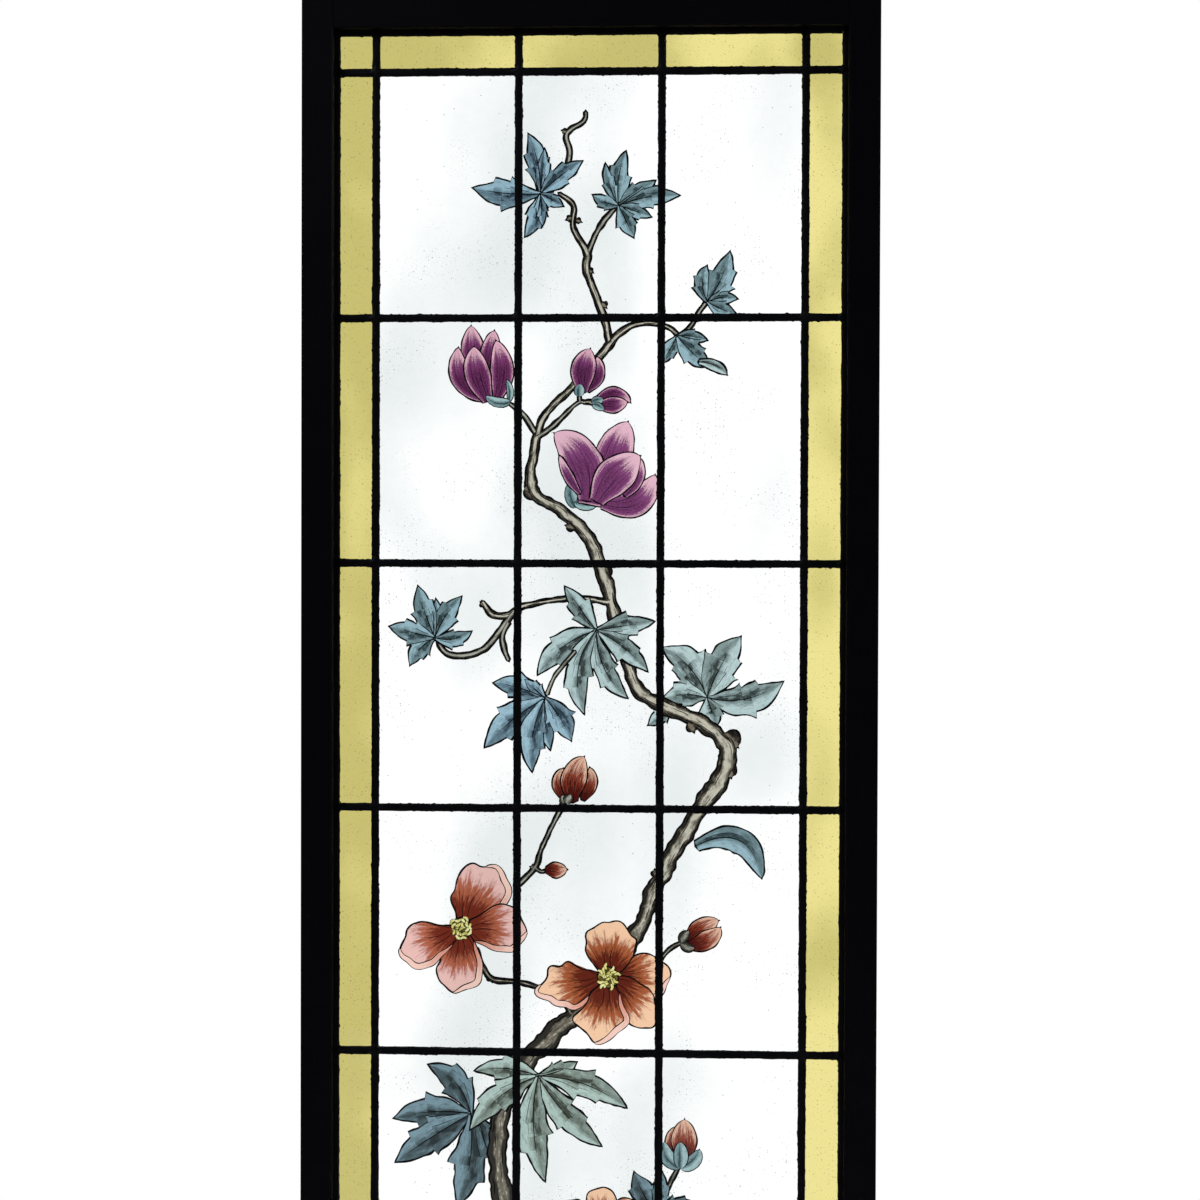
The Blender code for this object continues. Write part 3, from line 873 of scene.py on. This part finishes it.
leavesBehind = ("rightOfTrunk", "behindTrunk", "lowLeft")
leavesInFront = (
    "topLeft", "topRight", "smallUpper", "smallLower", "tail", "farLeft", "greatGrey", "lowRight", "tuft",
)
blueStalk = [(577, 651, 2), (566, 664, 2.5), (556, 677, 2.5), (549, 694, 3)]


def paintWindow():
    for name in leavesBehind:
        paintLeaf(name)
    paintTree()
    for name in leavesInFront:
        paintLeaf(name)
    branch(blueStalk, 30, 0.16).layInked("stem", 1.3)
    paintLeaf("blue")
    paintLeaf("curved")
    paintSepals("open")
    for number, name in enumerate(magnolias):
        paintTongues(magnolias[name], "purpleOpen" if name == "open" else "purple", 220 + 8 * number)
        if name != "open":
            paintSepals(name)
    for number, name in enumerate(redBuds):
        paintTongues(redBuds[name], "budRed", 260 + 4 * number)
        if name in sepals:
            paintSepals(name, "sepal" if name == "low" else "stem")
    for name in flowers:
        paintOpenFlower(name)


paintWindow()
print("stage: painting laid out,", len(strokes), "strokes")


# Panes

def placed(name, made, finishes):
    # a bmesh becomes an object
    mesh = bpy.data.meshes.new(name)
    made.to_mesh(mesh)
    made.free()
    for material in finishes:
        mesh.materials.append(material)
    piece = bpy.data.objects.new(name, mesh)
    bpy.context.scene.collection.objects.link(piece)
    return piece


def finish(name, made, slot, *finishes, replaces=(), smooth=False):
    # an object that rides on the window
    piece = placed(name, made, finishes)
    for face in piece.data.polygons:
        face.use_smooth = smooth
    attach(piece, "root")
    if replaces:
        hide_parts(*replaces)


def shareIn(trio, point):
    # the figure's and the brush's place at a point of a painted triangle, from those at its corners
    a, b, c = [corner[0] for corner in trio]
    whole = (b - a).cross(c - a)
    second = (point - a).cross(c - a) / whole
    third = (b - a).cross(point - a) / whole
    shares = (1 - second - third, second, third)
    return [[sum(s * corner[part][n] for s, corner in zip(shares, trio)) for n in (0, 1)] for part in (1, 2)]


def crosses(points, low, high):
    # whether the box round some points reaches into a pane
    xs = [point.x for point in points]
    zs = [point.y for point in points]
    return max(xs) > low.x and min(xs) < high.x and max(zs) > low.z and min(zs) < high.z


def inside(trio, x, z):
    # the numbers of the places that lie in a triangle
    a, b, c = [corner[0] for corner in trio]
    near = (x > min(a.x, b.x, c.x)) & (x < max(a.x, b.x, c.x))
    near = np.nonzero(near & (z > min(a.y, b.y, c.y)) & (z < max(a.y, b.y, c.y)))[0]
    way = 1 if area(trio) > 0 else -1
    within = np.ones(len(near), dtype=bool)
    for p, q in ((a, b), (b, c), (c, a)):
        side = (q.x - p.x) * (z[near] - p.y) - (q.y - p.y) * (x[near] - p.x)
        within &= side * way >= 0
    return near[within]


def paintedPane(node, plain):
    # the front is cut along every painted edge, and each cell takes the uppermost paint over it
    low, high = [Vector(corner) * 1000 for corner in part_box(node)]
    places = [Vector(c) for c in ((low.x, low.z), (high.x, low.z), (high.x, high.z), (low.x, high.z))]
    edges = [(0, 1), (1, 2), (2, 3), (3, 0)]
    owners = [None]
    for stroke in strokes:
        trios = [trio for trio in stroke["trios"] if crosses([corner[0] for corner in trio], low, high)]
        if not trios:
            continue
        owners += [(stroke["paint"], trio) for trio in trios]
        for edge in stroke["edges"]:
            if (edge[0] - edge[1]).length > 0.01 and crosses(edge, low, high):
                edges.append((len(places), len(places) + 1))
                places += edge
    spots, _, cells, _, _, _ = delaunay_2d_cdt(places, edges, [], 0, 1e-4)
    middles = np.array([sum((spots[c] for c in cell), Vector((0.0, 0.0))) / 3 for cell in cells])
    x, z = middles[:, 0], middles[:, 1]
    claimed = np.zeros(len(cells), dtype=int)
    for number, owner in enumerate(owners):
        if owner:
            claimed[inside(owner[1], x, z)] = number
    kept = (x > low.x) & (x < high.x) & (z > low.z) & (z < high.z)
    used = [plain]
    made = bmesh.new()
    maps = [made.loops.layers.uv.new(name) for name in ("figure", "brush")]
    front = [made.verts.new((spot.x / 1000, low.y / 1000, spot.y / 1000)) for spot in spots]
    for cell, top in zip([c for c, keep in zip(cells, kept) if keep], claimed[kept]):
        face = made.faces.new([front[corner] for corner in cell])
        if not top:
            continue
        paint, trio = owners[top]
        if paint not in used:
            used.append(paint)
        face.material_index = used.index(paint)
        for loop, corner in zip(face.loops, cell):
            for layer, uv in zip(maps, shareIn(trio, spots[corner])):
                loop[layer].uv = uv
    bmesh.ops.delete(made, geom=[v for v in made.verts if not v.link_faces], context="VERTS")
    bmesh.ops.dissolve_degenerate(made, dist=2e-7, edges=made.edges)
    rim = [edge for edge in made.edges if edge.is_boundary]
    grown = bmesh.ops.extrude_edge_only(made, edges=rim)["geom"]
    back = {part for part in grown if isinstance(part, bmesh.types.BMVert)}
    bmesh.ops.translate(made, verts=list(back), vec=(0, (high.y - low.y) / 1000, 0))
    bmesh.ops.edgeloop_fill(made, edges=[edge for edge in made.edges if edge.is_boundary])
    for face in made.faces:
        if any(vert in back for vert in face.verts):
            face.material_index = 0
    bmesh.ops.recalc_face_normals(made, faces=made.faces)
    name = ("painted_" if len(used) > 1 else "glass_") + node
    finish(name, made, plain + "_glass", *[materials[paint] for paint in used], replaces=[node])
    return len(cells)


total = 0
for node in frame["nodes"]:
    if node.startswith("pane_"):
        total += paintedPane(node, "clear")
    elif node.startswith("border_"):
        total += paintedPane(node, "amber")
print("stage: panes cut,", total, "zones")

# Lead and solder, in millimetres

lead = {
    "face": 6.9,
    "edgeFace": 10.0,
    "heart": 1.6,
    "channel": 3.6,
    "depth": 6.0,
    "step": 3.0,
    "sway": 0.28,  # how far a came strays from its line
    "swell": 0.34,  # how far each edge of its face goes in and out
    "nick": 0.2,
    "dent": 0.10,
    "edgeSteady": 0.3,  # how much of all this the edge came has
    "clear": 3.2,  # from the middle of an upright to the end of a level came
}
solder = {
    "arm": 8.8,
    "edgeArm": 5.6,
    "hollow": 1.16,  # how deeply its outline curves in between the arms
    "under": 1.72,
    "top": 4.15,
    "unevenness": 0.16,
    "lump": 0.22,
    "toFrame": 4.1,
    "segments": 24,
    "rings": 10,
}
noLimit = 99  # farther than any solder runs
cement = {
    "step": 1.7,
    "glassFace": 1.51,
    "reach": 0.30,
    "ragged": 0.85,
    "rise": 0.42,
    "heel": 0.29,  # its thickness under the lead
    "under": 0.5,  # and how far it runs in there
}


def middleOf(node, axis):
    low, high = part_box(node)
    return (low[axis] + high[axis]) * 500


panelMiddle = middleOf("lead_upright_1", 1)
uprights = [middleOf("lead_upright_%d" % n, 0) for n in range(1, 5)]
levels = [middleOf("lead_row_%d" % n, 2) for n in range(1, 7)]
sight = {  # where the cames meet the edge came
    "left": -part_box("lead_row_1")[1][0] * 1000,
    "right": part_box("lead_row_1")[1][0] * 1000,
    "bottom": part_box("lead_upright_1")[0][2] * 1000,
    "top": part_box("lead_upright_1")[1][2] * 1000,
}


def leadShade(name, dull, bright, rough):
    shade = Shade(name, {"Metallic": 0.5, "Specular IOR Level": 0.16})
    place = shade.here()
    bloom = shade.cloud(place, 55, 4.0, 0.62)
    drawn = shade.cloud(place, 900, 2.0, 0.5)
    tone = (bloom * 1.2 + (drawn - 0.5) * 0.4 - 0.1).within(0.3, 0.85)
    shade.feed("Base Color", shade.blend(tone, linear(*dull), linear(*bright)))
    shade.feed("Roughness", rough + bloom * 0.3)
    shade.bump(bloom + drawn * 0.25, 0.5, 0.0004)
    return shade.material


def cementShade():
    shade = Shade("glazing_cement", {"Specular IOR Level": 0.2})
    place = shade.here()
    crumb = shade.cloud(place, 1400, 3.0, 0.6)
    shade.feed("Base Color", shade.blend(crumb.within(0.35, 0.7), linear(8, 8, 10), linear(30, 29, 28)))
    shade.feed("Roughness", 0.7 + crumb * 0.3)
    shade.bump(crumb, 0.8, 0.0003)
    return shade.material


materials["lead"] = leadShade("lead_came", (4, 5, 9), (16, 17, 22), 0.46)
materials["solder"] = leadShade("solder", (5, 6, 10), (22, 23, 27), 0.4)
materials["cement"] = cementShade()


def turned(across, depth, along, upright):
    # a place in a bar's own directions as x, y and z, or the other way about
    return (across, depth, along) if upright else (along, depth, across)


def drawnBar(made, outline, start, end, upright, step):
    # an outline of (across, depth) pulled from start to end, then cut into short lengths
    before = len(made.verts)
    cap = made.faces.new([made.verts.new(turned(across, depth, start, upright)) for across, depth in outline])
    grown = bmesh.ops.extrude_face_region(made, geom=[cap], use_keep_orig=True)["geom"]
    far = [part for part in grown if isinstance(part, bmesh.types.BMVert)]
    bmesh.ops.translate(made, verts=far, vec=turned(0, 0, end - start, upright))
    ends = set(far)
    long = [edge for vert in far for edge in vert.link_edges if edge.other_vert(vert) not in ends]
    cuts = max(1, round((end - start) / step))
    bmesh.ops.subdivide_edges(made, edges=long, cuts=cuts, use_grid_fill=True)
    return list(made.verts)[before:]


def waver(a, b, c, size):
    # noise of about -1 to 1 whose bumps are size long
    return noise.noise(Vector((a / size, b * 5.3 + 0.37, c * 3.1 + 0.11))) * 1.6


def cameOutline(half):
    deep, inner = lead["depth"] / 2, lead["channel"] / 2
    quarter = [
        (lead["heart"] / 2, inner), (half, inner), (half, inner + 0.4), (half - 0.3, inner + 0.78),
        (half - 1.0, deep - 0.14), (half - 2.1, deep),
    ]
    face = quarter + [(-across, depth) for across, depth in reversed(quarter)]
    return face + [(-across, -depth) for across, depth in face]


def layCame(made, half, middle, start, end, upright, seed, steady=1.0):
    # a hand-drawn came: its line sways and its faces swell and dent
    for vert in drawnBar(made, cameOutline(half), start, end, upright, lead["step"]):
        across, depth, along = turned(*vert.co, upright)
        way = math.copysign(1, across)
        swell = lead["swell"] * waver(along, seed, 2 + way, 24)
        swell += lead["nick"] * waver(along, seed, 6 + way, 4)
        sway = lead["sway"] * waver(along, seed, 0, 90)
        across += (sway + way * (across / half) ** 2 * swell) * steady
        if abs(depth) > lead["channel"] / 2 + 0.1:
            depth += math.copysign(lead["dent"] * waver(along, seed, 9 + across * 0.3, 13), depth)
        vert.co = turned(middle + across, depth, along, upright)


def laySolder(made, across, up, seed, arm=solder["arm"], limits=(noLimit,) * 4):
    # a puddle on each face that runs out along the four arms of a joint; limits are left, right, down, up
    lying = Matrix.Rotation(math.pi / 2, 4, "X")
    ball = {"u_segments": solder["segments"], "v_segments": solder["rings"], "radius": 1, "matrix": lying}
    for side in (-1, 1):
        drop = bmesh.ops.create_uvsphere(made, **ball)
        for vert in drop["verts"]:
            a, h, b = vert.co
            turn = math.atan2(b, a)
            reach = arm / (abs(math.cos(turn)) + abs(math.sin(turn))) ** solder["hollow"]
            reach *= 1 + solder["unevenness"] * waver(turn * 2, seed, side, 1)
            x = min(max(a * reach, -limits[0]), limits[1])
            z = min(max(b * reach, -limits[2]), limits[3])
            lump = 1 + solder["lump"] * waver(x, seed + z * 0.13, side, 5)
            rise = (solder["top"] - solder["under"]) * max(h, 0) ** 0.85 * min(lump, 1.0)
            vert.co = (across + x, side * (solder["under"] + rise + 0.15 * min(h, 0)), up + z)
        for face in {face for vert in drop["verts"] for face in vert.link_faces}:
            face.material_index = 1


def inMetres(made):
    # what was made in millimetres round the panel's middle goes to its place
    bmesh.ops.translate(made, verts=made.verts, vec=(0, panelMiddle, 0))
    bmesh.ops.scale(made, verts=made.verts, vec=(0.001, 0.001, 0.001))
    bmesh.ops.recalc_face_normals(made, faces=made.faces)


def leadPiece(name, made, node):
    inMetres(made)
    finish(name, made, "lead", materials["lead"], materials["solder"], replaces=[node], smooth=True)


def makeUprights():
    for number, middle in enumerate(uprights, 1):
        made = bmesh.new()
        layCame(made, lead["face"] / 2, middle, sight["bottom"], sight["top"], True, number)
        leadPiece("came_upright_%d" % number, made, "lead_upright_%d" % number)


def makeLevels():
    gap = lead["clear"]
    stops = [sight["left"] - gap, *uprights, sight["right"] + gap]
    for number, middle in enumerate(levels, 1):
        made = bmesh.new()
        for part, (start, end) in enumerate(zip(stops, stops[1:])):
            layCame(made, lead["face"] / 2, middle, start + gap, end - gap, False, 20 + 7 * number + part)
        for part, across in enumerate(uprights):
            laySolder(made, across, middle, 80 + 5 * number + part)
        leadPiece("came_row_%d" % number, made, "lead_row_%d" % number)


def makeEdges():
    for number, name in enumerate(sight):
        low, high = [Vector(corner) * 1000 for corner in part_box("lead_edge_" + name)]
        upright = name in ("left", "right")
        across, along = (0, 2) if upright else (2, 0)
        middle = (low[across] + high[across]) / 2
        half, seed = lead["edgeFace"] / 2, 150 + number
        made = bmesh.new()
        layCame(made, half, middle, low[along], high[along], upright, seed, lead["edgeSteady"])
        limits = [solder["toFrame"] if name == way else noLimit for way in sight]
        for part, joint in enumerate(levels if upright else uprights):
            spot, _, up = turned(sight[name], 0, joint, upright)
            seed = (160 if upright else 190) + 9 * number + part
            laySolder(made, spot, up, seed, solder["edgeArm"], limits)
        leadPiece("came_edge_" + name, made, "lead_edge_" + name)


def layCement(made, line, inward, start, end, upright, side, seed):
    # a ragged fillet of cement between the lead and one face of the glass
    reach = cement["reach"]
    base = cement["glassFace"]
    corners = [
        (-cement["under"], base), (reach, base), (reach * 0.3, base + cement["rise"]),
        (-cement["under"], base + cement["heel"]),
    ]
    outline = [(across, side * depth) for across, depth in corners]
    for vert in drawnBar(made, outline, start, end, upright, cement["step"]):
        across, depth, along = turned(*vert.co, upright)
        if across > 0:
            share = 1 if across > reach * 0.5 else 0.4
            ragged = max(0.0, waver(along, seed, side, 2.6)) ** 1.5 + 0.5 * waver(along, seed, side + 4, 17)
            across += max(-reach * 0.6, cement["ragged"] * ragged) * share
        vert.co = turned(line + inward * across, depth, along, upright)


def makeCement():
    half = lead["face"] / 2
    columns = [sight["left"], *uprights, sight["right"]]
    rows = [sight["bottom"], *reversed(levels), sight["top"]]
    for face, side in (("front", -1), ("back", 1)):
        for rank, (low, high) in enumerate(zip(rows, rows[1:])):
            made = bmesh.new()
            for file, (left, right) in enumerate(zip(columns, columns[1:])):
                x = (left + (half if file else 0), right - (half if file < len(uprights) else 0))
                z = (low + (half if rank else 0), high - (half if rank < len(levels) else 0))
                seed = rank * 40 + file * 8 + side
                layCement(made, x[0], 1, *z, True, side, seed)
                layCement(made, x[1], -1, *z, True, side, seed + 2)
                layCement(made, z[0], 1, *x, False, side, seed + 4)
                layCement(made, z[1], -1, *x, False, side, seed + 6)
            inMetres(made)
            finish("cement_%s_%d" % (face, rank + 1), made, "lead", materials["cement"], smooth=True)


makeUprights()
makeLevels()
makeEdges()
makeCement()
print("stage: lead, solder and cement laid")


# Frame and beads

paintwork = {
    "frame": {"body": (2, 2, 8), "worn": (36, 30, 27), "rough": 0.46},
    "bead": {"body": (5, 5, 10), "worn": (42, 35, 30), "rough": 0.5},
}


def woodShade(name, axis, body, worn, rough):
    # matt black paint brushed over close-grained wood, rubbed a little at its edges
    shade = Shade(name, {"Specular IOR Level": 0.07})
    place = shade.here()
    along = (0.06, 1, 1) if axis == "x" else (1, 1, 0.06)
    brush = shade.cloud(shade.stretched(place, along), 620, 3.0, 0.55)
    grain = shade.cloud(shade.stretched(place, along), 150, 4.0, 0.6)
    dust = shade.cloud(place, 26, 4.0, 0.6)
    scuff = shade.cloud(shade.stretched(place, along, (3, 1, 2)), 60, 5.0, 0.7).within(0.66, 0.8)
    edge = shade.node("NewGeometry", out="Pointiness").within(0.52, 0.6)
    tone = shade.blend(dust.within(0.35, 0.75) * 0.6, linear(*body), linear(*[part + 5 for part in body]))
    shade.feed("Base Color", shade.blend((scuff * 0.25).larger(edge * scuff), tone, linear(*worn)))
    shade.feed("Roughness", rough + brush * 0.22 - dust * 0.1)
    shade.bump(brush * 0.5 + grain, 0.35, 0.0005)
    return shade.material


for kind, look in paintwork.items():
    for axis in ("x", "z"):
        materials[kind + axis] = woodShade("painted_%s_%s" % (kind, axis), axis, **look)
for node, held in frame["nodes"].items():
    if node.startswith(("stile", "rail", "bead")):
        kind = "bead" if node.startswith("bead") else "frame"
        axis = "z" if node.endswith(("left", "right")) else "x"
        for slot in held.material_slots:
            slot.material = materials[kind + axis]
print("stage: frame painted")

# Camera, floor and light

view = {
    "place": (0.088, -2.003, 0.798),  # a little right of the middle, at the height of the photograph's centre
    "turnLeft": 2.2,
    "tiltDown": 0.72,
    "roll": 0.17,
    "lens": 60,
    "sensor": 36,
}


def setCamera():
    lens = bpy.data.cameras.new("camera")
    lens.lens = view["lens"]
    lens.sensor_width = view["sensor"]
    lens.sensor_fit = "HORIZONTAL"
    camera = bpy.data.objects.new("camera", lens)
    bpy.context.scene.collection.objects.link(camera)
    turn = Matrix.Rotation(math.radians(view["turnLeft"]), 4, "Z")
    tilt = Matrix.Rotation(math.radians(90 - view["tiltDown"]), 4, "X")
    roll = Matrix.Rotation(math.radians(view["roll"]), 4, "Z")
    camera.matrix_world = Matrix.Translation(view["place"]) @ turn @ tilt @ roll
    bpy.context.scene.camera = camera


studio = {
    "floor": {"wide": 2.6, "front": -1.5, "back": 0.46},
    "seen": 1.0,  # the white that the camera sees round the window
    "through": 1.09,  # and that it sees through the glass
    "fill": 0.16,  # what the same white adds to wood and lead
    "gloss": 0.07,
    "aim": (0, 0, 0.7),
    "lamps": [
        {"name": "key", "place": (-2.3, -2.0, 3.1), "size": 1.4, "watts": 46},
        {"name": "side", "place": (2.8, -0.9, 1.9), "size": 1.2, "watts": 22},
        {"name": "rear", "place": (1.2, 2.6, 2.8), "size": 1.4, "watts": 40},
    ],
}


def setFloor():
    about = studio["floor"]
    made = bmesh.new()
    bmesh.ops.create_grid(made, x_segments=1, y_segments=1, size=0.5)
    bmesh.ops.scale(made, verts=made.verts, vec=(about["wide"], about["back"] - about["front"], 1))
    bmesh.ops.translate(made, verts=made.verts, vec=(0, (about["back"] + about["front"]) / 2, -0.0005))
    shade = Shade("floor", {"Roughness": 0.7, "Specular IOR Level": 0.2})
    mottle = shade.cloud(shade.here(), 5, 3.0)
    shade.feed("Base Color", shade.blend(mottle, linear(232, 232, 230), linear(240, 240, 239)))
    floor = placed("floor", made, [shade.material])


def setLight():
    world = bpy.data.worlds.new("world")
    bpy.context.scene.world = world
    world.use_nodes = True
    nodes, links = world.node_tree.nodes, world.node_tree.links
    path = nodes.new("ShaderNodeLightPath")
    chosen = None
    for ray, name in (("Glossy", "gloss"), ("Transmission", "through"), ("Camera", "seen")):
        mix = nodes.new("ShaderNodeMix")
        links.new(path.outputs["Is %s Ray" % ray], mix.inputs[0])
        mix.inputs[2].default_value = studio["fill"]
        if chosen:
            links.new(chosen, mix.inputs[2])
        mix.inputs[3].default_value = studio[name]
        chosen = mix.outputs[0]
    links.new(chosen, nodes["Background"].inputs["Strength"])
    nodes["Background"].inputs["Color"].default_value = (1, 1, 1, 1)
    for about in studio["lamps"]:
        lamp = bpy.data.lights.new(about["name"], "AREA")
        lamp.size = about["size"]
        lamp.energy = about["watts"]
        held = bpy.data.objects.new(about["name"], lamp)
        bpy.context.scene.collection.objects.link(held)
        aim = Vector(studio["aim"]) - Vector(about["place"])
        turn = aim.to_track_quat("-Z", "Y").to_matrix().to_4x4()
        held.matrix_world = Matrix.Translation(about["place"]) @ turn
    bpy.context.scene.view_settings.view_transform = "Standard"


setCamera()
setFloor()
setLight()

print("stage: camera, floor and light set")
